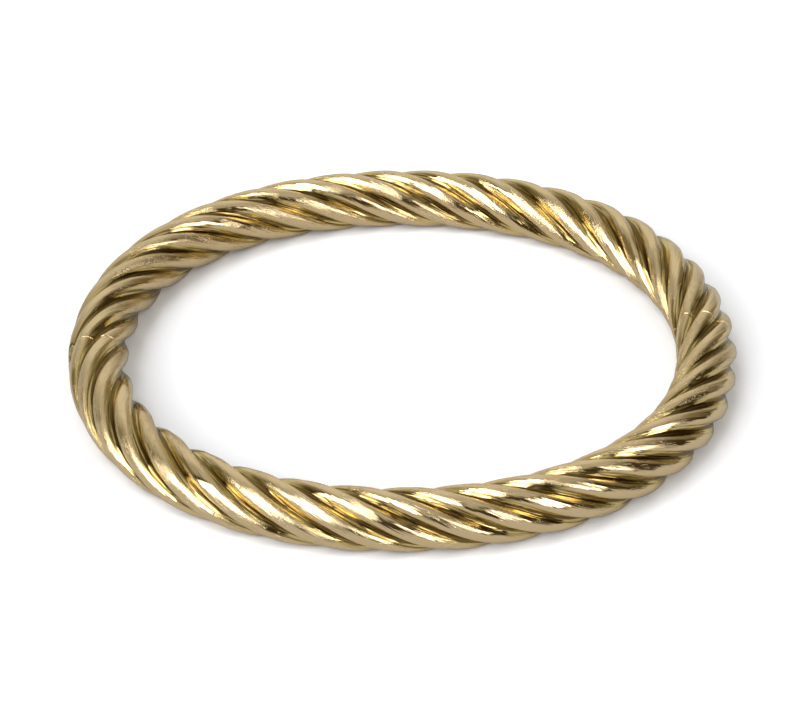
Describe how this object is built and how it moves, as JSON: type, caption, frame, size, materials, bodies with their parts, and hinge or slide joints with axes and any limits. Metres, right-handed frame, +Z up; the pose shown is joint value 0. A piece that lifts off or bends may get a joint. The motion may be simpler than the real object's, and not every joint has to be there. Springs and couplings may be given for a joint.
{
  "type": "hinged twisted rope bangle",
  "caption": "Oval hinged bangle of hollow twisted gold rope with spiral ribs, a hidden pin hinge at one end and a tongue clasp at the other.",
  "frame": {"origin": "middle of the oval opening, on the surface that the bangle lies on", "axes": "+X from the hinge to the clasp along the oval's long axis, +Y to the back half, +Z up through the wrist opening"},
  "size_m": [0.0689, 0.064, 0.0063],
  "materials": {
    "rope_gold": "polished yellow gold with fine drawing lines and light wear",
    "fitting_gold": "satin yellow gold"
  },
  "bodies": {
    "back": {"back_half": "rope_gold", "hinge_pin": "fitting_gold"},
    "front": {"front_half": "rope_gold", "clasp_tongue": "fitting_gold"}
  },
  "joints": [
    {"name": "hinge", "type": "hinge", "parent": "back", "child": "front", "pos_m": [-0.03308, -0.00195, 0.00313], "axis": [0, 0, -1], "range_deg": [0, 55]}
  ]
}
